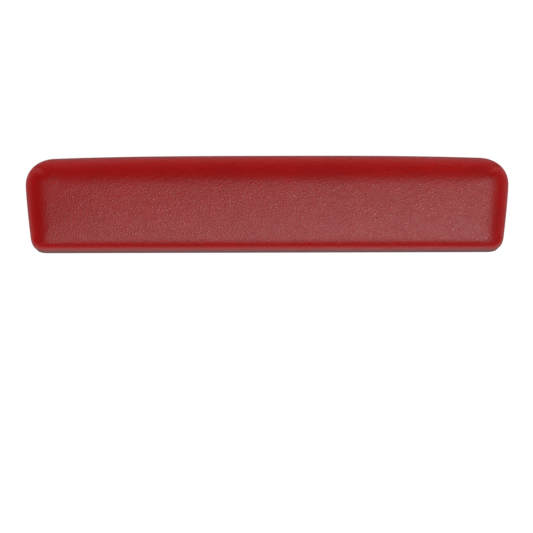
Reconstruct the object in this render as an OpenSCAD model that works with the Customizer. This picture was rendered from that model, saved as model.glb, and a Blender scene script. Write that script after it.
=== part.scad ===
// Upholstered armrest pad for the elbow and forearm.
// A plywood board carries foam, polyester wadding and a stretched vinyl cover
// that is turned under and stapled. Two M6 T-nuts in the board take the bolts.
// Frame: millimetres, X along the pad, -Y is the straight front edge, +Z up,
// origin at the centre of the underside.

/* [Pad] */
// Length over the cover
pad_length = 280; // [220:5:360]
// Width over the cover
pad_width = 56; // [50:1:80]
// Height over the cover, from the bottom cloth to the crown
pad_height = 27; // [25:1:40]
// How far each end leans in towards the front edge, in degrees
end_lean = 5.5; // [0:0.5:8]
// How far the back edge bows out between its corners
back_bow = 1.5; // [0.5:0.5:4]
// Plan radius of the two back corners
back_corner = 19; // [14:1:21]
// Plan radius of the two front corners
front_corner = 8.5; // [6:0.5:12]

/* [Top edge] */
// Rounding of the top edge along the front
front_round = 4; // [4:0.5:8]
// Rounding of the top edge over the ends
end_round = 7; // [4:0.5:9]
// Rounding of the top edge along the back
back_round = 14; // [4:0.5:16]
// Rise of the top from its rounded edge to the middle
crown = 1.5; // [0.5:0.25:3]

/* [Layers] */
// Thickness of the vinyl
vinyl = 1.1; // [0.8:0.1:1.2]
// Thickness of the wadding between the vinyl and the foam or board
wadding_thick = 2.5; // [2.4:0.1:3]
// Thickness of the plywood board
board_thick = 9; // [9:1:12]
// Thickness of the bottom cloth
cloth_thick = 0.5; // [0.3:0.1:0.6]
// Outside radius of the vinyl where it tucks under the board
tuck_round = 3.5; // [3.4:0.1:3.6]
// Distance from the outer wall to the inner edge of the turned-under hem
hem_reach = 18; // [16:0.5:19]
// Distance from the outer wall to the edge of the bottom cloth
cloth_margin = 5.5; // [5:0.5:6]

/* [Fasteners] */
// Distance between the two T-nuts
bolt_spacing = 160; // [100:5:180]
// Minor diameter of the T-nuts' M6 thread
thread_bore = 5; // [4:0.1:5.2]
// Outside diameter of a T-nut's barrel
barrel_dia = 7.8; // [7.4:0.1:8]
// Length of a T-nut over flange and barrel
tnut_length = 8.5; // [7:0.1:8.8]
// Diameter of a T-nut's flange
flange_dia = 19; // [17:0.5:20]
// Thickness of a T-nut's flange
flange_thick = 1.3; // [1:0.1:1.5]
// Hole in the bottom cloth at each T-nut
cloth_hole = 14; // [9:0.5:16]
// Breather hole that lets air out of the foam through the board
breather_dia = 6; // [4:0.5:8]
// Number of staples that hold the vinyl hem
hem_staple_count = 28; // [20:2:32]
// Number of staples that hold the bottom cloth
cloth_staple_count = 16; // [12:2:20]
// Width of a staple over its legs
staple_width = 9.2; // [8:0.1:10]
// Length of a staple's legs
staple_leg = 7.5; // [6:0.5:8]

/* [Hidden] */
$fn = 48;

// Heights of the layers, from the bottom cloth upwards
hem_z = cloth_thick;
board_z = hem_z + vinyl;
foam_z = board_z + board_thick;
edge_z = pad_height - crown;

// Depths of the layers under the face of the cover
board_inset = vinyl + wadding_thick;

// Staple wire, and how far in from the wall each row is driven
wire_wide = 0.7;
wire_thick = 0.5;
hem_row = 13;
cloth_row = 8.5;

// T-nut details
tnut_top = foam_z;
prong_reach = 8;
prong_wide = 3;
prong_thick = 1.2;
prong_length = 6;
drill_gap = 0.1;
breather_x = bolt_spacing / 4;

// Steps of the lofted surfaces
tuck_steps = 4;
round_steps = 7;
crown_steps = 4;
crown_stop = 0.94;

// Plan outline. The end lines touch a back and a front corner on each side.
back_x = pad_length / 2 - back_corner;
bow_radius = (back_x * back_x + back_bow * back_bow) / (2 * back_bow);
bow_angle = asin(back_x / bow_radius);
bow_y = pad_width / 2 - back_corner - bow_radius;
back_y = bow_y + bow_radius * cos(bow_angle);
front_y = front_corner - pad_width / 2;
front_x = back_x
    + (back_corner - front_corner - sin(end_lean) * (back_y - front_y)) / cos(end_lean);
spine_x = (pad_length - pad_width) / 2;

// Each outline entry is [point, outward normal]
function arc(centre, radius, from, to, steps, first = 0) =
    [for (i = [first:steps])
        let (a = from + (to - from) * i / steps, n = [cos(a), sin(a)])
        [centre + radius * n, n]];

// Points strictly between the last entry of one list and the first of the next
function between(from, to, steps) =
    [for (i = [1:steps - 1]) [from[0] + (to[0] - from[0]) * i / steps, from[1]]];

right_back = arc([back_x, back_y], back_corner, -end_lean, 90 - bow_angle, 9);
back_edge = arc([0, bow_y], bow_radius + back_corner, 90 - bow_angle, 90 + bow_angle, 12, 1);
left_back = arc([-back_x, back_y], back_corner, 90 + bow_angle, 180 + end_lean, 9, 1);
left_front = arc([-front_x, front_y], front_corner, 180 + end_lean, 270, 6);
right_front = arc([front_x, front_y], front_corner, 270, 360 - end_lean, 6);

OUTLINE = concat(
    right_back,
    back_edge,
    left_back,
    between(left_back[8], left_front[0], 2),
    left_front,
    between(left_front[6], right_front[0], 12),
    right_front,
    between(right_front[6], right_back[0], 2)
);
STATIONS = len(OUTLINE);

// A point of the outline moved in from the wall, towards the middle line
function inset_point(k, inset) =
    let (
        p = OUTLINE[k][0],
        q = [min(spine_x, max(-spine_x, p.x)), 0],
        reach = (p - q) * OUTLINE[k][1]
    )
    q + (p - q) * (1 - inset / reach);

function reach_at(k) =
    let (p = OUTLINE[k][0], q = [min(spine_x, max(-spine_x, p.x)), 0])
    (p - q) * OUTLINE[k][1];

function inset_outline(inset) = [for (k = [0:STATIONS - 1]) inset_point(k, inset)];

// Rounding of the top edge at a station, blended from its front, end and back values
function round_at(k) =
    let (n = OUTLINE[k][1])
    front_round * pow(max(0, -n.y), 2) + end_round * pow(n.x, 2)
        + back_round * pow(max(0, n.y), 2);

// Top half of the section at a station, as [inset, height], from the wall to the crown
function top_profile(k, depth) =
    let (r = round_at(k), reach = reach_at(k))
    concat(
        [for (i = [0:round_steps])
            let (a = 90 * i / round_steps)
            [r - (r - depth) * cos(a), edge_z - r + (r - depth) * sin(a)]],
        [for (i = [1:crown_steps])
            let (u = crown_stop * i / crown_steps)
            [r + (reach - r) * u, edge_z - depth + crown * (1 - pow(1 - u, 2))]]
    );

// The tuck under the board's edge, from the underside to the wall
function tuck_profile(depth) =
    [for (i = [0:tuck_steps])
        let (a = 90 * i / tuck_steps)
        [tuck_round - (tuck_round - depth) * sin(a),
            hem_z + tuck_round - (tuck_round - depth) * cos(a)]];

function backwards(list) = [for (i = [len(list) - 1:-1:0]) list[i]];

// Sections that run from the crown down the outside and back up the inside
function cover_section(k) = concat(
    backwards(top_profile(k, 0)),
    backwards(tuck_profile(0)),
    [[hem_reach, hem_z], [hem_reach, board_z]],
    tuck_profile(vinyl),
    top_profile(k, vinyl)
);

function wadding_section(k) = concat(
    backwards(top_profile(k, vinyl)),
    backwards(tuck_profile(vinyl)),
    [[board_inset, board_z]],
    top_profile(k, board_inset)
);

function foam_section(k) = concat(
    backwards(top_profile(k, board_inset)),
    [[board_inset, foam_z]]
);

// A section's points put in place at its station
function placed(k, section) = [for (s = section) let (p = inset_point(k, s[0])) [p.x, p.y, s[1]]];

// Closed skin over one section per station. Each four-sided cell is split along its
// shorter diagonal, and a fan to a middle point closes each end of the sections.
module loft(sections, first_z, last_z) {
    rows = len(sections[0]);
    points = [for (s = sections) each s, [0, 0, first_z], [0, 0, last_z]];
    middle = STATIONS * rows;
    next = function(k) (k + 1) % STATIONS;
    cells = [for (k = [0:STATIONS - 1], j = [0:rows - 2])
        let (a = k * rows + j, d = next(k) * rows + j)
        [a, a + 1, d + 1, d]];
    sides = [for (q = cells)
        each norm(points[q[0]] - points[q[2]]) < norm(points[q[1]] - points[q[3]])
            ? [[q[0], q[1], q[2]], [q[0], q[2], q[3]]]
            : [[q[0], q[1], q[3]], [q[1], q[2], q[3]]]];
    first_cap = [for (k = [0:STATIONS - 1]) [k * rows, next(k) * rows, middle]];
    last_cap = [for (c = first_cap) [c[1] + rows - 1, c[0] + rows - 1, middle + 1]];
    polyhedron(points, concat(sides, first_cap, last_cap), convexity = 6);
}

// Running length along a closed line, one entry per point and one for the whole
function lengths(line) =
    [for (i = 0, total = 0; i <= len(line);
        total = total + norm(line[(i + 1) % len(line)] - line[i % len(line)]), i = i + 1) total];

// Evenly spaced places along the outline, each as [x, y, angle of the line there]
function places(count, inset) =
    let (line = inset_outline(inset), run = lengths(line), whole = run[len(line)])
    [for (i = [0:count - 1])
        let (
            want = whole * (i + 0.5) / count,
            k = max([for (m = [0:len(line) - 1]) if (run[m] <= want) m]),
            a = line[k],
            b = line[(k + 1) % len(line)],
            p = a + (b - a) * (want - run[k]) / (run[k + 1] - run[k])
        )
        [p.x, p.y, atan2(b.y - a.y, b.x - a.x)]];

module at_places(count, inset, z) {
    for (p = places(count, inset))
        translate([p.x, p.y, z])
            rotate(p[2])
                children();
}

// A staple driven upwards, with its crown's lower face at zero
module staple() {
    translate([-staple_width / 2, -wire_wide / 2, 0])
        cube([staple_width, wire_wide, wire_thick]);
    for (side = [-1, 1])
        translate([side * (staple_width - wire_thick) / 2 - wire_thick / 2, -wire_wide / 2, 0])
            cube([wire_thick, wire_wide, staple_leg]);
}

module hem_staple_rows() {
    at_places(hem_staple_count, hem_row, hem_z) staple();
}

module cloth_staple_rows() {
    at_places(cloth_staple_count, cloth_row, 0) staple();
}

// Four prongs struck down from the flange, with their roots at height zero
module prongs() {
    for (turn = [45:90:315])
        rotate(turn)
            translate([prong_reach - prong_thick, 0, 0])
                rotate([90, 0, 90])
                    linear_extrude(prong_thick)
                        polygon([[-prong_wide / 2, 0], [0, -prong_length], [prong_wide / 2, 0]]);
}

module t_nut(x) {
    translate([x, 0, tnut_top])
        difference() {
            union() {
                translate([0, 0, -flange_thick]) cylinder(h = flange_thick, d = flange_dia);
                translate([0, 0, -tnut_length]) cylinder(h = tnut_length, d = barrel_dia);
                translate([0, 0, -flange_thick]) prongs();
            }
            translate([0, 0, -tnut_length - 1]) cylinder(h = tnut_length + 2, d = thread_bore);
            for (turn = [45:90:315])
                rotate(turn)
                    translate([prong_reach, -prong_wide / 2, -flange_thick - 1])
                        cube([flange_dia, prong_wide, flange_thick + 2]);
        }
}

// Room for a T-nut in the board
module t_nut_seat(x) {
    translate([x, 0, tnut_top]) {
        translate([0, 0, -board_thick - 1])
            cylinder(h = board_thick + 2, d = barrel_dia + 2 * drill_gap);
        translate([0, 0, -flange_thick]) {
            cylinder(h = flange_thick + 1, d = flange_dia + 2 * drill_gap);
            prongs();
        }
    }
}

module vinyl_cover() {
    color("darkred")
        difference() {
            loft(
                [for (k = [0:STATIONS - 1]) placed(k, cover_section(k))],
                pad_height,
                pad_height - vinyl
            );
            hem_staple_rows();
            cloth_staple_rows();
        }
}

module wadding() {
    color("whitesmoke")
        loft(
            [for (k = [0:STATIONS - 1]) placed(k, wadding_section(k))],
            pad_height - vinyl,
            pad_height - board_inset
        );
}

module foam_pad() {
    color("khaki")
        loft(
            [for (k = [0:STATIONS - 1]) placed(k, foam_section(k))],
            pad_height - board_inset,
            foam_z
        );
}

module base_board() {
    color("burlywood")
        difference() {
            translate([0, 0, board_z])
                linear_extrude(board_thick)
                    polygon(inset_outline(board_inset));
            for (side = [-1, 1]) {
                t_nut_seat(side * bolt_spacing / 2);
                translate([side * breather_x, 0, board_z - 1])
                    cylinder(h = board_thick + 2, d = breather_dia);
            }
            hem_staple_rows();
            cloth_staple_rows();
        }
}

module left_t_nut() {
    color("silver") t_nut(-bolt_spacing / 2);
}

module right_t_nut() {
    color("silver") t_nut(bolt_spacing / 2);
}

module hem_staples() {
    color("gainsboro") hem_staple_rows();
}

module bottom_cloth() {
    color("dimgray")
        difference() {
            linear_extrude(cloth_thick) polygon(inset_outline(cloth_margin));
            for (side = [-1, 1])
                translate([side * bolt_spacing / 2, 0, -1])
                    cylinder(h = cloth_thick + 2, d = cloth_hole);
            cloth_staple_rows();
        }
}

module bottom_cloth_staples() {
    color("lightgray") cloth_staple_rows();
}

vinyl_cover();
wadding();
foam_pad();
base_board();
left_t_nut();
right_t_nut();
hem_staples();
bottom_cloth();
bottom_cloth_staples();
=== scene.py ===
import math

import bmesh
import bpy
from mathutils import Matrix, Quaternion, Vector, kdtree, noise


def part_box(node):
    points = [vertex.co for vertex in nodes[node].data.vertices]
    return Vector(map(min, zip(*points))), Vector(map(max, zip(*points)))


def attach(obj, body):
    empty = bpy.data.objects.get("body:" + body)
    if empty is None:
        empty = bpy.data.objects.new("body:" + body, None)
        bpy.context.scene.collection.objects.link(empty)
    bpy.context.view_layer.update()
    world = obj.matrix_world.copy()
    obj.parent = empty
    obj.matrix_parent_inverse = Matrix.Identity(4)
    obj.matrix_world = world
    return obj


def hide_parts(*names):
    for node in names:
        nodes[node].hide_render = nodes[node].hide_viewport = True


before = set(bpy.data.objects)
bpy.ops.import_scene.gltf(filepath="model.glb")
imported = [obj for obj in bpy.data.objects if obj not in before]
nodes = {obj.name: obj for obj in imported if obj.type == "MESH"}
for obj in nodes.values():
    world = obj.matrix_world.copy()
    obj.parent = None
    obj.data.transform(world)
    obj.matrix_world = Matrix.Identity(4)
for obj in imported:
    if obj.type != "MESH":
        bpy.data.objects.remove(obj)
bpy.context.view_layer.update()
scene = bpy.context.scene
MM = 0.001

# Camera: a long lens that looks down on the top from the front edge's side. The pad
# lies above the middle of the view, so the camera aims at the table in front of it.
CAMERA_RISE = math.radians(81)
CAMERA_REACH = 2.2
VIEW_WIDTH = 0.309
AIM = Vector((-0.00045, -0.0354, 0.0))
CAMERA_TILT = math.radians(-0.15)

camera_data = bpy.data.cameras.new("camera")
camera_data.sensor_width = 36
camera_data.lens = camera_data.sensor_width * CAMERA_REACH / VIEW_WIDTH
camera_data.clip_end = 20
camera = bpy.data.objects.new("camera", camera_data)
scene.collection.objects.link(camera)
away = Vector((0, -math.cos(CAMERA_RISE), math.sin(CAMERA_RISE)))
camera.location = AIM + away * CAMERA_REACH
tilted = Quaternion((0, 0, 1), CAMERA_TILT)
camera.rotation_euler = (away.to_track_quat("Z", "Y") @ tilted).to_euler()
scene.camera = camera


# Studio: four low white panels light the vinyl softly from all round. They aren't
# mirrored in it, so the red stays deep. A softbox overhead, to the right, is the broad
# sheen on the top, and a narrow one in front is the thin bright line along the front edge.
# The light from below is for views of the underside, with the table taken away. The table
# hides itself from gloss, so this light also shows as a pale sheen on the rims and walls.
class Signal:
    """One output of a tree of nodes. Sums on signals add the Math nodes that do them."""

    def __init__(self, tree, socket=None):
        self.tree, self.socket = tree, socket

    def node(self, kind, settings, inputs, output=0):
        made = self.tree.nodes.new(kind)
        for name, value in settings.items():
            if name == "stops":
                ramp = made.color_ramp
                while len(ramp.elements) < len(value):
                    ramp.elements.new(1)
                for element, (place, colour) in zip(ramp.elements, value):
                    element.position, element.color = place, colour
            else:
                setattr(made, name, value)
        for name, value in inputs.items():
            if isinstance(value, Signal):
                self.tree.links.new(value.socket, made.inputs[name])
            else:
                made.inputs[name].default_value = value
        return Signal(self.tree, made.outputs[output])

    def math(self, operation, *values):
        return self.node("ShaderNodeMath", {"operation": operation}, dict(enumerate(values)))

    def vector(self, operation, *values):
        return self.node("ShaderNodeVectorMath", {"operation": operation}, dict(enumerate(values)))

    def __add__(self, other):
        return self.math("ADD", self, other)

    def __sub__(self, other):
        return self.math("SUBTRACT", self, other)

    def __mul__(self, other):
        return self.math("MULTIPLY", self, other)

    def __truediv__(self, other):
        return self.math("DIVIDE", self, other)

    def part(self, axis):
        """One of the three numbers of a vector signal, by its letter."""
        return self.node("ShaderNodeSeparateXYZ", {}, {"Vector": self}, axis)

    def mix(self, low, high):
        """The colour low where this signal is 0 and high where it is 1."""
        settings = {"data_type": "RGBA", "clamp_factor": True}
        return self.node("ShaderNodeMix", settings, {0: self, 6: low, 7: high}, 2)

    def span(self, low, high, to_low=0.0, to_high=1.0):
        """This signal with low to high spread over to_low to to_high, and clamped."""
        ends = {0: self, 1: low, 2: high, 3: to_low, 4: to_high}
        return self.node("ShaderNodeMapRange", {}, ends)


def finish_with(shader, **links):
    """Links signals to the shader's sockets, and puts plain values on them."""
    for name, value in links.items():
        socket = shader.inputs[name.replace("_", " ")]
        if isinstance(value, Signal):
            value.tree.links.new(value.socket, socket)
        else:
            socket.default_value = value


scene.view_settings.view_transform = "Standard"
scene.view_settings.look = "None"
BACKDROP = 1.0
MIRRORED_ROOM = 0.004
LIGHT_BELOW = 0.6

world = bpy.data.worlds.new("studio")
scene.world = world
world.use_nodes = True
room = Signal(world.node_tree)
rise = room.node("ShaderNodeTexCoord", {}, {}, "Generated").part("Z")
to_camera = room.node("ShaderNodeLightPath", {}, {}, "Is Camera Ray")
to_gloss = room.node("ShaderNodeLightPath", {}, {}, "Is Glossy Ray")
finish_with(
    world.node_tree.nodes["Background"],
    Color=(1, 1, 1, 1),
    Strength=to_camera * BACKDROP + to_gloss * rise.span(0, 0.2, 0, MIRRORED_ROOM)
    + rise.span(-0.2, 0, LIGHT_BELOW, 0),
)


def panel(name, place, size, brightness, in_gloss):
    """A rectangle of light that faces the pad and shows either in its gloss or in its colour."""
    data = bpy.data.lights.new(name, "AREA")
    data.shape = "RECTANGLE"
    data.size, data.size_y = size
    data.energy = brightness * math.pi * size[0] * size[1]
    data.cycles.use_multiple_importance_sampling = in_gloss
    light = bpy.data.objects.new(name, data)
    light.location = place
    light.rotation_euler = Vector(place).to_track_quat("Z", "Y").to_euler()
    light.visible_camera = False
    light.visible_glossy = in_gloss
    light.visible_diffuse = not in_gloss
    scene.collection.objects.link(light)


ROOM = 1.2
PANEL_HEIGHT = 0.8
panel("front_panel", (0, -ROOM, PANEL_HEIGHT / 2), (2 * ROOM, PANEL_HEIGHT), 3.2, False)
panel("back_panel", (0, ROOM, PANEL_HEIGHT / 2), (2 * ROOM, PANEL_HEIGHT), 3.9, False)
panel("left_panel", (-ROOM, 0, PANEL_HEIGHT / 2), (2 * ROOM, PANEL_HEIGHT), 3.0, False)
panel("right_panel", (ROOM, 0, PANEL_HEIGHT / 2), (2 * ROOM, PANEL_HEIGHT), 3.0, False)
panel("sheen_softbox", (0.24, -0.06, 1.1), (0.7, 0.45), 10.1, True)
panel("edge_softbox", (0, -0.55, 0.9), (0.9, 0.15), 7.0, True)


# Table: a plain white sweep under the pad. It is lit from within, so it stays white up
# to the pad's edge, and it isn't mirrored in the vinyl's gloss.
def material(name):
    """A new material, its surface shader, a signal to start from and its object coordinates."""
    made = bpy.data.materials.new(name)
    made.use_nodes = True
    start = Signal(made.node_tree)
    place = start.node("ShaderNodeTexCoord", {}, {}, "Object")
    return made, made.node_tree.nodes["Principled BSDF"], start, place


TABLE_SIZE = 6
TABLE_GLOW = 0.95
table_mesh = bmesh.new()
bmesh.ops.create_grid(table_mesh, x_segments=1, y_segments=1, size=TABLE_SIZE)
table_data = bpy.data.meshes.new("table")
table_mesh.to_mesh(table_data)
table_mesh.free()
table = bpy.data.objects.new("table", table_data)
scene.collection.objects.link(table)
table.visible_glossy = False
white, shader, start, place = material("table_white")
speck = start.node("ShaderNodeTexNoise", {}, {"Vector": place, "Scale": 40.0, "Detail": 3.0})
camera_ray = start.node("ShaderNodeLightPath", {}, {}, "Is Camera Ray")
finish_with(
    shader,
    Base_Color=speck.mix((0.09, 0.09, 0.09, 1), (0.11, 0.11, 0.11, 1)),
    Roughness=0.9,
    Emission_Color=camera_ray.mix((0, 0, 0, 1), (1, 1, 1, 1)),
    Emission_Strength=TABLE_GLOW,
)
table_data.materials.append(white)


# Base board: 9 mm plywood, sawn to the outline, with two stepped holes for the T-nuts
# and two breather holes. Its faces show long grain and its edges show seven plies.
def grain(place, size, stretch=(1, 1, 1)):
    """Object coordinates scaled so that one pattern cell is size metres."""
    scale = Vector(stretch) / size
    return place.node("ShaderNodeMapping", {}, {"Vector": place, "Scale": scale})


board_low, board_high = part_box("base_board")
PLIES = 7
PLY = (board_high.z - board_low.z) / PLIES
GLUE_SHARE = 0.07
plywood, shader, start, place = material("plywood")
ply = (place.part("Z") - (board_low.z - PLY * GLUE_SHARE)) / PLY
glue = ply.math("FRACT", ply).span(0, GLUE_SHARE, 1, 0)
crossed = ply.math("PINGPONG", ply.math("FLOOR", ply), 1.0)
streaks = start.node(
    "ShaderNodeTexNoise",
    {},
    {"Vector": grain(place, 1.2 * MM, (0.04, 1, 1)), "Scale": 1.0, "Detail": 6.0},
)
figure = start.node(
    "ShaderNodeTexNoise",
    {},
    {"Vector": grain(place, 14 * MM, (0.12, 1, 1)), "Scale": 1.0, "Detail": 2.0, "Distortion": 1.5},
)
wood = (streaks * 0.6 + figure * 0.4).span(0.35, 0.65)
pale = wood.mix((0.36, 0.21, 0.10, 1), (0.60, 0.41, 0.23, 1))
layered = (crossed * 0.35).mix(pale, (0.27, 0.15, 0.07, 1))
finish_with(
    shader,
    Base_Color=glue.mix(layered, (0.09, 0.045, 0.02, 1)),
    Roughness=streaks.span(0.3, 0.7, 0.55, 0.8),
    Normal=start.node("ShaderNodeBump", {}, {"Height": streaks, "Strength": 0.4, "Distance": 0.2 * MM}),
)
nodes["base_board"].data.materials.clear()
nodes["base_board"].data.materials.append(plywood)

# T-nuts: two zinc-plated M6 T-nuts, stamped from one disc each. The barrel stands in the
# board, the flange lies flush under the foam, and four struck prongs bite into the wood.
nut_low, nut_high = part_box("left_t_nut")
FLANGE = (nut_high.x - nut_low.x) / 2
NUT_LENGTH = nut_high.z - nut_low.z
FLANGE_THICK = 1.3 * MM
BARREL = 3.9 * MM
THREAD_CREST, THREAD_ROOT = 2.5 * MM, 3.0 * MM
PITCH = 1.0 * MM
PRONG_ROOT = 6.7 * MM
PRONG_DROP = 4.7 * MM
PRONG_WIDTHS = (0.95, 0.8, 0.55, 0.15)
SOFT_EDGE = 0.25 * MM
ROUND_STEPS = 64
PRONG_TURNS = [math.radians(45 + 90 * i) for i in range(4)]
HALF_NOTCH = math.radians(11.3)


def off_turn(point, turn):
    """How far round the axis a point is from a turn."""
    return abs((math.atan2(point.y, point.x) - turn + math.pi) % (2 * math.pi) - math.pi)


def piece_from(mesh, name, replaced, finish):
    """A finished piece in the model: its mesh, its material, its body and what it replaces."""
    data = bpy.data.meshes.new(name)
    mesh.to_mesh(data)
    mesh.free()
    data.materials.append(finish)
    for face in data.polygons:
        face.use_smooth = True
    piece = bpy.data.objects.new(name, data)
    scene.collection.objects.link(piece)
    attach(piece, "root")
    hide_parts(replaced)
    return piece


def add_modifier(piece, kind, **settings):
    made = piece.modifiers.new(kind.lower(), kind)
    for name, value in settings.items():
        setattr(made, name, value)
    return made


def spun(mesh, outline, turns, rise=0.0):
    """A closed outline of radius and height, spun round the axis, rising by rise each turn."""
    corners = [mesh.verts.new((radius, 0, height)) for radius, height in outline]
    sides = [mesh.edges.new(pair) for pair in zip(corners, corners[1:] + corners[:1])]
    bmesh.ops.spin(
        mesh,
        geom=corners + sides,
        cent=(0, 0, 0),
        axis=(0, 0, 1),
        dvec=(0, 0, rise / ROUND_STEPS),
        angle=turns * 2 * math.pi,
        steps=turns * ROUND_STEPS,
        use_merge=rise == 0,
        use_duplicate=False,
    )


def t_nut(name):
    """A T-nut whose flange's top is at height zero and whose axis is the Z axis."""
    low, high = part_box(name)
    nut = bmesh.new()
    spun(nut, [
        (THREAD_ROOT + 2 * SOFT_EDGE, 0),
        (FLANGE - SOFT_EDGE, 0),
        (FLANGE, -SOFT_EDGE),
        (FLANGE, SOFT_EDGE - FLANGE_THICK),
        (FLANGE - SOFT_EDGE, -FLANGE_THICK),
        (BARREL + 3 * SOFT_EDGE, -FLANGE_THICK),
        (BARREL + SOFT_EDGE, -FLANGE_THICK - SOFT_EDGE),
        (BARREL, -FLANGE_THICK - 3 * SOFT_EDGE),
        (BARREL, SOFT_EDGE - NUT_LENGTH),
        (BARREL - SOFT_EDGE, -NUT_LENGTH),
        (THREAD_ROOT + SOFT_EDGE, -NUT_LENGTH),
        (THREAD_ROOT, SOFT_EDGE - NUT_LENGTH),
        (THREAD_ROOT, -2 * SOFT_EDGE),
    ], turns=1)
    bmesh.ops.remove_doubles(nut, verts=nut.verts, dist=0.01 * MM)
    for turn in PRONG_TURNS:
        for v in nut.verts:
            reach = math.hypot(v.co.x, v.co.y)
            if reach > PRONG_ROOT and off_turn(v.co, turn) < HALF_NOTCH:
                v.co.xy *= (reach - FLANGE + PRONG_ROOT) / reach
    bmesh.ops.recalc_face_normals(nut, faces=nut.faces)
    for turn in PRONG_TURNS:
        outward = Vector((math.cos(turn), math.sin(turn), 0))
        along = Vector((-math.sin(turn), math.cos(turn), 0))
        hinge = outward * PRONG_ROOT - Vector((0, 0, FLANGE_THICK))
        tongue = [
            f for f in nut.faces
            if off_turn(f.calc_center_median(), turn) < HALF_NOTCH
            and f.normal.dot(outward) > 0.3
            and PRONG_ROOT - 2 * SOFT_EDGE < f.calc_center_median().dot(outward) < PRONG_ROOT + SOFT_EDGE
        ]
        for bend in range(3):
            made = bmesh.ops.extrude_face_region(nut, geom=tongue)["geom"]
            bmesh.ops.delete(nut, geom=tongue, context="FACES")
            tongue = [f for f in made if isinstance(f, bmesh.types.BMFace)]
            moved = [v for v in made if isinstance(v, bmesh.types.BMVert)]
            turned = Matrix.Rotation(math.radians(30), 3, along)
            bmesh.ops.rotate(nut, verts=moved, cent=hinge, matrix=turned)
        for width in PRONG_WIDTHS:
            made = bmesh.ops.extrude_face_region(nut, geom=tongue)["geom"]
            bmesh.ops.delete(nut, geom=tongue, context="FACES")
            tongue = [f for f in made if isinstance(f, bmesh.types.BMFace)]
            moved = [v for v in made if isinstance(v, bmesh.types.BMVert)]
            before = max(abs(v.co.dot(along)) for v in moved)
            narrowed = width * PRONG_ROOT * math.sin(HALF_NOTCH) / before
            for v in moved:
                v.co -= along * v.co.dot(along) * (1 - narrowed)
                v.co.z -= PRONG_DROP / len(PRONG_WIDTHS)
    threads = bmesh.new()
    turns = round(NUT_LENGTH / PITCH)
    spun(threads, [
        (THREAD_ROOT + SOFT_EDGE / 2, -NUT_LENGTH - PITCH / 2),
        (THREAD_CREST, -NUT_LENGTH - 0.06 * PITCH),
        (THREAD_CREST, -NUT_LENGTH + 0.06 * PITCH),
        (THREAD_ROOT + SOFT_EDGE / 2, -NUT_LENGTH + 0.46 * PITCH),
    ], turns=turns, rise=PITCH)
    for height, way in ((SOFT_EDGE - NUT_LENGTH, -1), (-2 * SOFT_EDGE, 1)):
        bmesh.ops.bisect_plane(
            threads,
            geom=threads.verts[:] + threads.edges[:] + threads.faces[:],
            plane_co=(0, 0, height),
            plane_no=(0, 0, way),
            clear_outer=True,
        )
    bmesh.ops.holes_fill(threads, edges=threads.edges)
    bmesh.ops.recalc_face_normals(threads, faces=threads.faces)
    ridge = bpy.data.meshes.new("thread_ridge")
    threads.to_mesh(ridge)
    threads.free()
    nut.from_mesh(ridge)
    bpy.data.meshes.remove(ridge)
    bmesh.ops.translate(nut, verts=nut.verts, vec=((low.x + high.x) / 2, 0, high.z))
    return nut


zinc, shader, start, place = material("zinc_plated_steel")
cloud = start.node("ShaderNodeTexNoise", {}, {"Vector": grain(place, 3 * MM), "Scale": 1.0, "Detail": 4.0})
spangle = start.node("ShaderNodeTexVoronoi", {}, {"Vector": grain(place, 0.9 * MM), "Scale": 1.0})
finish_with(
    shader,
    Base_Color=cloud.span(0.35, 0.65).mix((0.50, 0.52, 0.55, 1), (0.70, 0.70, 0.66, 1)),
    Metallic=1.0,
    Roughness=(cloud * 0.6 + spangle * 0.4).span(0.2, 0.7, 0.22, 0.42),
    Normal=start.node("ShaderNodeBump", {}, {"Height": cloud, "Strength": 0.3, "Distance": 0.05 * MM}),
)
for side in ("left", "right"):
    name = side + "_t_nut"
    nut = piece_from(t_nut(name), name + "_pressed", name, zinc)
    add_modifier(nut, "WEIGHTED_NORMAL", mode="FACE_AREA_WITH_ANGLE", weight=60)

# Foam: one block of cream polyurethane foam, cut to the outline and glued to the board.
# Its top edges are rounded over, softest along the back, and they give the pad its shape,
# so that shape is worked out here once, as one skin that all three soft layers follow.
cover_low, cover_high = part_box("vinyl_cover")
SWELL_ROOM = 0.4 * MM
HALF_LENGTH = (cover_high.x - cover_low.x) / 2 - SWELL_ROOM
HALF_WIDTH = (cover_high.y - cover_low.y) / 2
HEM_Z = cover_low.z
VINYL = 1.1 * MM
CROWN = 1.8 * MM
CROWN_END = 42 * MM
EDGE_Z = cover_high.z - CROWN
BACK_CORNER, FRONT_CORNER = 16.5 * MM, 6.5 * MM
BACK_ROUND, END_ROUND, FRONT_ROUND = 20 * MM, 12 * MM, 4.7 * MM
ROUND_DROP = 0.85
CORNER_EASE = 7 * MM
END_TAPER = 4.2 * MM
BACK_BOW = 2.0 * MM
TUCK = 3.5 * MM
HEM_REACH = 18 * MM
WALL_BULGE = 0.2 * MM
PLEAT_DEPTH = 0.5 * MM
PLEATS = 3
CELL = 2.2 * MM
LEAST_CELL = 0.8 * MM
WALL_ROWS, TUCK_ROWS, HEM_ROWS = 7, 4, 6
SKIRT_ROWS = WALL_ROWS + TUCK_ROWS + HEM_ROWS
SPINE = HALF_LENGTH - HALF_WIDTH


def spread(distance, rounding, whole):
    """How far in from the wall a line of even cells lies, once it has climbed the rounding."""
    quarter = rounding * math.pi / 2
    along = distance / whole * (whole - rounding + quarter)
    if along < quarter:
        return rounding * (1 - math.cos(along / rounding))
    return along - quarter + rounding


def rolled(rounding, inset):
    """How far the top has rolled down, at a distance in from one wall."""
    short = min(rounding, max(0.0, rounding - inset))
    return ROUND_DROP * (rounding - math.sqrt(rounding**2 - short**2))


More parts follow.
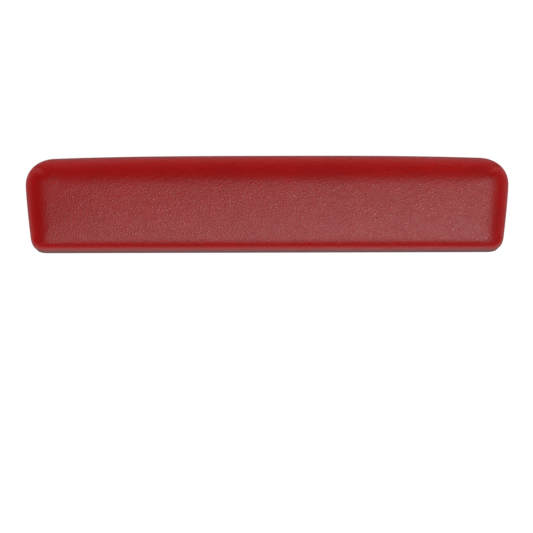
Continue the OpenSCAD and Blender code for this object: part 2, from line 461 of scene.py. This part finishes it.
def leaned(x, y):
    """A point of the square-ended plan, with the ends leant in and the back bowed."""
    ahead = max(0.0, (HALF_WIDTH - BACK_CORNER - y) / (2 * HALF_WIDTH - BACK_CORNER))
    back = max(0.0, y / HALF_WIDTH)
    slim = 1 - END_TAPER * ahead**1.3 / HALF_LENGTH
    return Vector((x * slim, y - BACK_BOW * back * abs(x / HALF_LENGTH) ** 3, 0))


def padded_top(u, v):
    """The padded top at u and v, from -1 to 1 along and across: its place and outward way."""
    side, end = math.copysign(1, v), math.copysign(1, u)
    corner, side_round = (BACK_CORNER, BACK_ROUND) if v > 0 else (FRONT_CORNER, FRONT_ROUND)
    x = HALF_LENGTH - spread((1 - abs(u)) * HALF_LENGTH, END_ROUND, HALF_LENGTH)
    y = HALF_WIDTH - spread((1 - abs(v)) * HALF_WIDTH, side_round, HALF_WIDTH)
    zone = max(END_ROUND, side_round)
    at_end_wall = max(0.0, x - HALF_LENGTH + zone) ** 2
    at_side_wall = max(0.0, y - HALF_WIDTH + zone) ** 2
    share = at_end_wall / max(at_end_wall + at_side_wall, 1e-12)
    rounding = END_ROUND * share + side_round * (1 - share)
    near, far = sorted((HALF_LENGTH - x, HALF_WIDTH - y))
    ease = max(min(2 * near, CORNER_EASE), 1e-9)
    drop = rolled(rounding, near - ease / 4 * max(0.0, 1 - (far - near) / ease) ** 2)
    over_x, over_y = x - (HALF_LENGTH - corner), y - (HALF_WIDTH - corner)
    if over_x > 0 and over_y > 0:
        ring = max(over_x, over_y)
        squeeze = ring / math.hypot(over_x, over_y)
        x += over_x * (squeeze - 1)
        y += over_y * (squeeze - 1)
        outward = Vector((end * over_x, side * over_y, 0)).normalized()
    else:
        at_end = HALF_LENGTH - x < HALF_WIDTH - y
        outward = Vector((end, 0, 0)) if at_end else Vector((0, side, 0))
    past = max(0.0, 1 - (HALF_LENGTH - x) / CROWN_END)
    dome = (1 - (y / HALF_WIDTH) ** 2) * (1 - past**2)
    spot = leaned(end * x, side * y)
    spot.z = EDGE_Z - drop + CROWN * dome
    return spot, outward


def moved_in(spot, outward, inset):
    """A point of the wall moved in by inset, towards the middle line."""
    middle = Vector((min(SPINE, max(-SPINE, spot.x)), 0, spot.z))
    reach = (spot - middle).dot(outward)
    return middle + (spot - middle) * (1 - inset / reach)


def skirt_point(rim, outward, row):
    """A point of the skin below its rim: rows go down the wall, round the tuck and in."""
    gathered = 4 * (outward.x * outward.y) ** 2 * min(1.0, row / WALL_ROWS) ** 3
    turn = math.atan2(abs(outward.y), abs(outward.x)) * 4 * PLEATS
    pleat = PLEAT_DEPTH * gathered * (0.5 - 0.5 * math.cos(turn))
    if row <= WALL_ROWS:
        down = row / WALL_ROWS
        inset = -WALL_BULGE * math.sin(math.pi * down)
        height = rim.z + (HEM_Z + TUCK - rim.z) * down
    elif row <= WALL_ROWS + TUCK_ROWS:
        turned = math.pi / 2 * (row - WALL_ROWS) / TUCK_ROWS
        inset = TUCK * (1 - math.cos(turned))
        height = HEM_Z + TUCK * (1 - math.sin(turned))
    else:
        under = (row - WALL_ROWS - TUCK_ROWS) / HEM_ROWS
        inset = TUCK + (HEM_REACH - TUCK) * under
        height = HEM_Z + pleat * 0.4
        pleat = 0
    spot = moved_in(rim, outward, inset + pleat)
    spot.z = height
    return spot


skin = bmesh.new()
outward_layer = skin.verts.layers.float_vector.new("outward")
rim_layer = skin.verts.layers.float_vector.new("rim")
row_layer = skin.verts.layers.int.new("row")
bmesh.ops.create_grid(
    skin,
    x_segments=round(2 * (HALF_LENGTH + END_ROUND / 2) / CELL),
    y_segments=round((2 * HALF_WIDTH + (BACK_ROUND + FRONT_ROUND) / 2) / CELL),
    size=1,
)
for v in skin.verts:
    v.co, v[outward_layer] = padded_top(v.co.x, v.co.y)
    v[rim_layer] = v.co
bmesh.ops.remove_doubles(skin, verts=skin.verts, dist=LEAST_CELL)
rim_edges = [e for e in skin.edges if e.is_boundary]
for row in range(1, SKIRT_ROWS + 1):
    made = bmesh.ops.extrude_edge_only(skin, edges=rim_edges)["geom"]
    rim_edges = [e for e in made if isinstance(e, bmesh.types.BMEdge)]
    for v in {v for e in rim_edges for v in e.verts}:
        v[row_layer] = row
        v.co = skirt_point(v[rim_layer], v[outward_layer], row)
bmesh.ops.recalc_face_normals(skin, faces=skin.faces)

# The pull of the staples and the push of the foam are simulated on the skin: its hem is
# held where the staples are, and everything between them swells a little, least of all
# near the front edge, where the cover is pulled tight first.
HOLD_REACH = 3.5 * MM
LEAST_SWELL_SHARE = 0.15
MOST_SWELL = 0.5 * MM
TAUT_FRONT = 15 * MM
SETTLE_FRAMES = 20


def tree_of(points):
    tree = kdtree.KDTree(len(points))
    for i, point in enumerate(points):
        tree.insert(point, i)
    tree.balance()
    return tree


def swell(mesh, staples):
    """Lets the skin settle as cloth under the foam's pressure, held at the staples."""
    data = bpy.data.meshes.new("settling")
    mesh.to_mesh(data)
    settling = bpy.data.objects.new("settling", data)
    scene.collection.objects.link(settling)
    held = settling.vertex_groups.new(name="held")
    for v in mesh.verts:
        if v[row_layer] > WALL_ROWS + TUCK_ROWS and staples.find(v.co)[2] < HOLD_REACH:
            held.add([v.index], 1, "REPLACE")
    cloth = settling.modifiers.new("cloth", "CLOTH")
    cloth.settings.quality = 6
    cloth.settings.mass = 0.4
    cloth.settings.tension_stiffness = 40
    cloth.settings.compression_stiffness = 40
    cloth.settings.shear_stiffness = 20
    cloth.settings.bending_stiffness = 5
    cloth.settings.use_pressure = True
    cloth.settings.uniform_pressure_force = 4
    cloth.settings.vertex_group_mass = "held"
    cloth.settings.effector_weights.gravity = 0
    cloth.collision_settings.use_collision = False
    for step in range(1, SETTLE_FRAMES + 1):
        scene.frame_set(step)
    settled = settling.evaluated_get(bpy.context.evaluated_depsgraph_get()).data
    for v in mesh.verts:
        move = settled.vertices[v.index].co - v.co
        taut = (v.co.y + HALF_WIDTH) / TAUT_FRONT
        most = MOST_SWELL * min(1.0, max(LEAST_SWELL_SHARE, taut))
        if move.length > most:
            move *= most / move.length
        v.co += move
        v.co.z = max(v.co.z, HEM_Z)
    scene.frame_set(1)
    bpy.data.objects.remove(settling)
    bpy.data.meshes.remove(data)


hem_staples = tree_of([v.co for v in nodes["hem_staples"].data.vertices])
skin.verts.ensure_lookup_table()
skin.verts.index_update()
swell(skin, hem_staples)
skin.normal_update()


def layer(depth, last_row=SKIRT_ROWS):
    """A copy of the skin down to one of its rows, moved in by depth."""
    copy = skin.copy()
    copy.normal_update()
    row = copy.verts.layers.int["row"]
    moves = {v: v.normal * depth for v in copy.verts}
    for v, move in moves.items():
        v.co -= move
    beyond = [v for v in copy.verts if v[row] > last_row]
    bmesh.ops.delete(copy, geom=beyond, context="VERTS")
    return copy


foam_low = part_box("foam_pad")[0]
FOAM_DEPTH = 3.65 * MM
block = layer(FOAM_DEPTH)
bmesh.ops.bisect_plane(
    block,
    geom=block.verts[:] + block.edges[:] + block.faces[:],
    plane_co=(0, 0, foam_low.z),
    plane_no=(0, 0, 1),
    clear_inner=True,
)
base = bmesh.ops.holes_fill(block, edges=[e for e in block.edges if e.is_boundary])["faces"]
bmesh.ops.inset_region(block, faces=base, thickness=0.6 * MM, use_even_offset=False)

foam, shader, start, place = material("cut_foam")
warp = start.node("ShaderNodeTexNoise", {}, {"Vector": grain(place, 5 * MM), "Scale": 1.0, "Detail": 3.0})
pores = start.node(
    "ShaderNodeTexVoronoi", {"feature": "DISTANCE_TO_EDGE"}, {"Vector": grain(place, 0.8 * MM), "Scale": 1.0}
).span(0.0, 0.35)
finish_with(
    shader,
    Base_Color=(pores * 0.7 + warp * 0.3).mix((0.83, 0.70, 0.42, 1), (0.52, 0.38, 0.17, 1)),
    Roughness=0.95,
    Specular_IOR_Level=0.2,
    Normal=start.node(
        "ShaderNodeBump", {"invert": True}, {"Height": pores, "Strength": 0.62, "Distance": 0.3 * MM}
    ),
)
foam_block = piece_from(block, "foam_block", "foam_pad", foam)

# Wadding: a sheet of white polyester fibre, pulled over the foam and glued to the
# board's edge. It rounds off the cut foam and keeps the vinyl from clinging to it.
WADDING_DEPTH = VINYL + 0.05 * MM
WADDING = 2.35 * MM
FLUFF = 0.3 * MM
TUFT = 7 * MM
RELAXES = 6
fleece = layer(WADDING_DEPTH, WALL_ROWS + 1)
for relax in range(RELAXES):
    bmesh.ops.smooth_vert(
        fleece, verts=fleece.verts, factor=0.5, use_axis_x=True, use_axis_y=True, use_axis_z=True
    )
fleece.normal_update()
for v in fleece.verts:
    v.co -= v.normal * FLUFF * (0.5 + 0.5 * noise.noise(v.co / TUFT))

fibre, shader, start, place = material("polyester_fibre")
curl = start.node("ShaderNodeTexNoise", {}, {"Vector": grain(place, 6 * MM), "Scale": 1.0, "Detail": 2.0})
bent = place.vector(
    "MULTIPLY_ADD", curl.vector("SUBTRACT", curl, (0.5, 0.5, 0.5)), (9 * MM,) * 3, place
)
strands = start.node(
    "ShaderNodeTexNoise",
    {},
    {"Vector": grain(bent, 0.7 * MM, (0.15, 1, 1)), "Scale": 1.0, "Detail": 4.0},
)
crossing = start.node(
    "ShaderNodeTexNoise", {}, {"Vector": grain(bent, 0.8 * MM, (1, 0.2, 1)), "Scale": 1.0, "Detail": 4.0}
)
fibres = (strands * 0.5 + crossing * 0.5).span(0.35, 0.65)
finish_with(
    shader,
    Base_Color=fibres.mix((0.66, 0.66, 0.65, 1), (0.90, 0.90, 0.88, 1)),
    Roughness=0.9,
    Sheen_Weight=0.4,
    Sheen_Roughness=0.6,
    Normal=start.node("ShaderNodeBump", {}, {"Height": fibres, "Strength": 0.6, "Distance": 0.4 * MM}),
)
wadding = piece_from(fleece, "wadding_wrap", "wadding", fibre)
add_modifier(wadding, "SOLIDIFY", thickness=WADDING, offset=-1)

# Vinyl cover: one cut of embossed PVC sheet, warmed and pulled over the wadding, then
# turned under the board and stapled. It is tight along the front edge, soft along the
# back, and eases into small pleats where the corners are gathered under. Its colour is
# darkened toward the foot of the walls as painted shade, not a colour the vinyl has.
DIMPLE = 0.4 * MM
DIMPLE_REACH = 2.5 * MM
hide = layer(0)
for v in hide.verts:
    if v.co.z < HEM_Z + DIMPLE:
        v.co.z += DIMPLE * math.exp(-((hem_staples.find(v.co)[2] / DIMPLE_REACH) ** 2))

red, shader, start, place = material("red_vinyl")
GRAIN_CELL = 1.5 * MM
GATHER_ENDS = (112 * MM, 128 * MM)
GATHER_BACK = (2 * MM, 16 * MM)
GATHER_DEPTH = 1.6
# Painted shade: below 20 mm the colour darkens toward near-black red, fully by 9 mm, in place of the shadow
# low on the walls.
PAINTED_SHADE_FOOT = (9 * MM, 20 * MM)
PAINTED_SHADE_SHARE = 0.9
wander = start.node("ShaderNodeTexNoise", {}, {"Vector": grain(place, 4 * MM), "Scale": 1.0, "Detail": 2.0})
bent = place.vector(
    "MULTIPLY_ADD", wander.vector("SUBTRACT", wander, (0.5, 0.5, 0.5)), (1.8 * MM,) * 3, place
)
cells = start.node(
    "ShaderNodeTexVoronoi",
    {"feature": "DISTANCE_TO_EDGE"},
    {"Vector": grain(bent, GRAIN_CELL), "Scale": 1.0},
)
pebble = cells.span(0.02, 0.42)
fine = start.node("ShaderNodeTexNoise", {}, {"Vector": grain(place, 0.5 * MM), "Scale": 1.0, "Detail": 2.0})
crease = start.node(
    "ShaderNodeTexNoise",
    {},
    {"Vector": grain(bent, 3.2 * MM, (0.6, 1, 1)), "Scale": 1.0, "Detail": 3.0, "Distortion": 0.6},
)
broad = start.node("ShaderNodeTexNoise", {}, {"Vector": grain(place, 30 * MM), "Scale": 1.0, "Detail": 3.0})
gather = start.node("ShaderNodeTexNoise", {}, {"Vector": grain(bent, 4 * MM, (1, 0.5, 1)), "Scale": 1.0})
near_ends = place.math("ABSOLUTE", place.part("X")).span(*GATHER_ENDS)
corner = near_ends * place.part("Y").span(*GATHER_BACK)
height = pebble * 0.5 + fine * 0.2 + crease * 0.9 + gather * corner * GATHER_DEPTH
worn = broad.span(0.35, 0.65)
# Mask of the painted shade at the foot of the walls: 1 below 9 mm, 0 from 20 mm up.
painted_shade_low_wall = place.part("Z").span(*PAINTED_SHADE_FOOT, 1, 0)
red_leather = worn.mix((0.255, 0.0008, 0.0012, 1), (0.278, 0.0012, 0.0015, 1))
finish_with(
    shader,
    Base_Color=(painted_shade_low_wall * PAINTED_SHADE_SHARE).mix(red_leather, (0.05, 0.0002, 0.0005, 1)),
    Roughness=(pebble * 0.5 + crease * 0.5).span(0.2, 0.8, 0.56, 0.40),
    Normal=start.node("ShaderNodeBump", {}, {"Height": height, "Strength": 0.62, "Distance": 0.3 * MM}),
    Specular_IOR_Level=0.45,
)

cover = piece_from(hide, "vinyl_cover_stretched", "vinyl_cover", red)
add_modifier(cover, "SOLIDIFY", thickness=VINYL, offset=-1, use_even_offset=True)
add_modifier(cover, "SUBSURF", levels=1, render_levels=1)


# Hem staples: fine galvanised wire staples, shot up through the vinyl into the board and
# set flush. Their shoulders are bent, not square, and the wire is round at its edges.
def rounded_wire(name):
    """A merged copy of a node of staples, with bent shoulders and rounded wire."""
    wire = bmesh.new()
    wire.from_mesh(nodes[name].data)
    bmesh.ops.remove_doubles(wire, verts=wire.verts, dist=0.01 * MM)
    bmesh.ops.dissolve_limit(wire, angle_limit=math.radians(1), verts=wire.verts, edges=wire.edges)
    lowest = min(v.co.z for v in wire.verts)
    shoulders = [
        e for e in wire.edges
        if e.calc_length() < 1 * MM and max(v.co.z for v in e.verts) < lowest + 0.1 * MM
    ]
    bmesh.ops.bevel(
        wire, geom=shoulders, offset=0.45 * MM, segments=4, profile=0.5, affect="EDGES", material=-1
    )
    corners = [e for e in wire.edges if len(e.link_faces) == 2 and e.calc_face_angle() > math.radians(60)]
    bmesh.ops.bevel(
        wire, geom=corners, offset=0.1 * MM, segments=2, profile=0.5, affect="EDGES", material=-1,
        clamp_overlap=True,
    )
    return wire


galvanised, shader, start, place = material("galvanised_wire")
drawn = start.node(
    "ShaderNodeTexNoise",
    {},
    {"Vector": grain(place, 0.25 * MM, (0.3, 0.3, 1)), "Scale": 1.0, "Detail": 3.0},
)
finish_with(
    shader,
    Base_Color=drawn.mix((0.42, 0.43, 0.45, 1), (0.66, 0.66, 0.64, 1)),
    Metallic=1.0,
    Roughness=drawn.span(0.3, 0.7, 0.28, 0.46),
)
hem_wire = rounded_wire("hem_staples")
piece_from(hem_wire, "hem_staples_wire", "hem_staples", galvanised)

# Bottom cloth: black spunbond cloth over the raw hem and board, its edge folded in and
# a hole punched at each T-nut. It sags a little and is pulled up where it is stapled.
cloth_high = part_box("bottom_cloth")[1]
CLOTH = 0.2 * MM
CLOTH_LOW = 0.13 * MM
FOLD_RISE = 0.24 * MM
FOLD_REACH = 8 * MM
FOLD_ROWS = 4
RIPPLE = 0.05 * MM
RIPPLE_SIZE = 9 * MM
PUCKER = 0.3 * MM
PUCKER_REACH = 4 * MM
HOLE = 7 * MM
HOLE_STEPS = 24
cloth_staples = tree_of([
    Vector((v.co.x, v.co.y, 0))
    for v in nodes["bottom_cloth_staples"].data.vertices if v.co.z < 1 * MM
])
sheet = bmesh.new()
outward_layer = sheet.verts.layers.float_vector.new("outward")
bmesh.ops.create_grid(
    sheet, x_segments=round(cloth_high.x / CELL) * 2, y_segments=round(cloth_high.y / CELL) * 2, size=1
)
for v in sheet.verts:
    spot, v[outward_layer] = padded_top(v.co.x, v.co.y)
    v.co = Vector((spot.x * cloth_high.x / HALF_LENGTH, spot.y * cloth_high.y / HALF_WIDTH, CLOTH_LOW))
bmesh.ops.recalc_face_normals(sheet, faces=sheet.faces)
hem_edges = [e for e in sheet.edges if e.is_boundary]
for name in ("left_t_nut", "right_t_nut"):
    low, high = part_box(name)
    middle = Vector(((low.x + high.x) / 2, 0, CLOTH_LOW))
    inside = [v for v in sheet.verts if (v.co - middle).length < HOLE + CELL / 2]
    bmesh.ops.delete(sheet, geom=inside, context="VERTS")
    for v in sheet.verts:
        away = v.co - middle
        if v.is_boundary and away.length < HOLE + 3 * CELL:
            v.co = middle + away.normalized() * HOLE
for row in range(FOLD_ROWS + 1):
    made = bmesh.ops.extrude_edge_only(sheet, edges=hem_edges)["geom"]
    hem_edges = [e for e in made if isinstance(e, bmesh.types.BMEdge)]
    for v in {v for e in hem_edges for v in e.verts}:
        if row == 0:
            v.co.z += FOLD_RISE
        else:
            v.co = moved_in(v.co, v[outward_layer], FOLD_REACH / FOLD_ROWS)
for v in sheet.verts:
    near = cloth_staples.find(Vector((v.co.x, v.co.y, 0)))[2]
    v.co.z += PUCKER * math.exp(-((near / PUCKER_REACH) ** 2))
    v.co.z += RIPPLE * noise.noise(v.co / RIPPLE_SIZE)

spunbond, shader, start, place = material("black_spunbond")
BOND = 1.3 * MM
turned = place.node(
    "ShaderNodeMapping",
    {},
    {"Vector": place, "Rotation": (0, 0, math.radians(45)), "Scale": (1 / BOND,) * 3},
)
across = turned.math("PINGPONG", turned.part("X"), 0.5)
along = turned.math("PINGPONG", turned.part("Y"), 0.5)
bonded = across.math("MAXIMUM", across, along).span(0.14, 0.24)
threads = start.node(
    "ShaderNodeTexNoise",
    {},
    {"Vector": grain(place, 0.35 * MM), "Scale": 1.0, "Detail": 5.0, "Distortion": 2.0},
)
cloudy = start.node("ShaderNodeTexNoise", {}, {"Vector": grain(place, 12 * MM), "Scale": 1.0, "Detail": 3.0})
finish_with(
    shader,
    Base_Color=(threads * 0.6 + cloudy * 0.4).mix((0.010, 0.010, 0.011, 1), (0.045, 0.045, 0.047, 1)),
    Roughness=bonded.span(0, 1, 0.45, 0.8),
    Normal=start.node(
        "ShaderNodeBump", {}, {"Height": bonded * 0.7 + threads * 0.3, "Strength": 0.8, "Distance": 0.12 * MM}
    ),
)
bottom_cloth = piece_from(sheet, "bottom_cloth_folded", "bottom_cloth", spunbond)
add_modifier(bottom_cloth, "SOLIDIFY", thickness=CLOTH, offset=0)

# Bottom cloth staples: the same staples, set nearer the edge, through the folded cloth.
cloth_wire = rounded_wire("bottom_cloth_staples")
piece_from(cloth_wire, "bottom_cloth_staples_wire", "bottom_cloth_staples", galvanised)
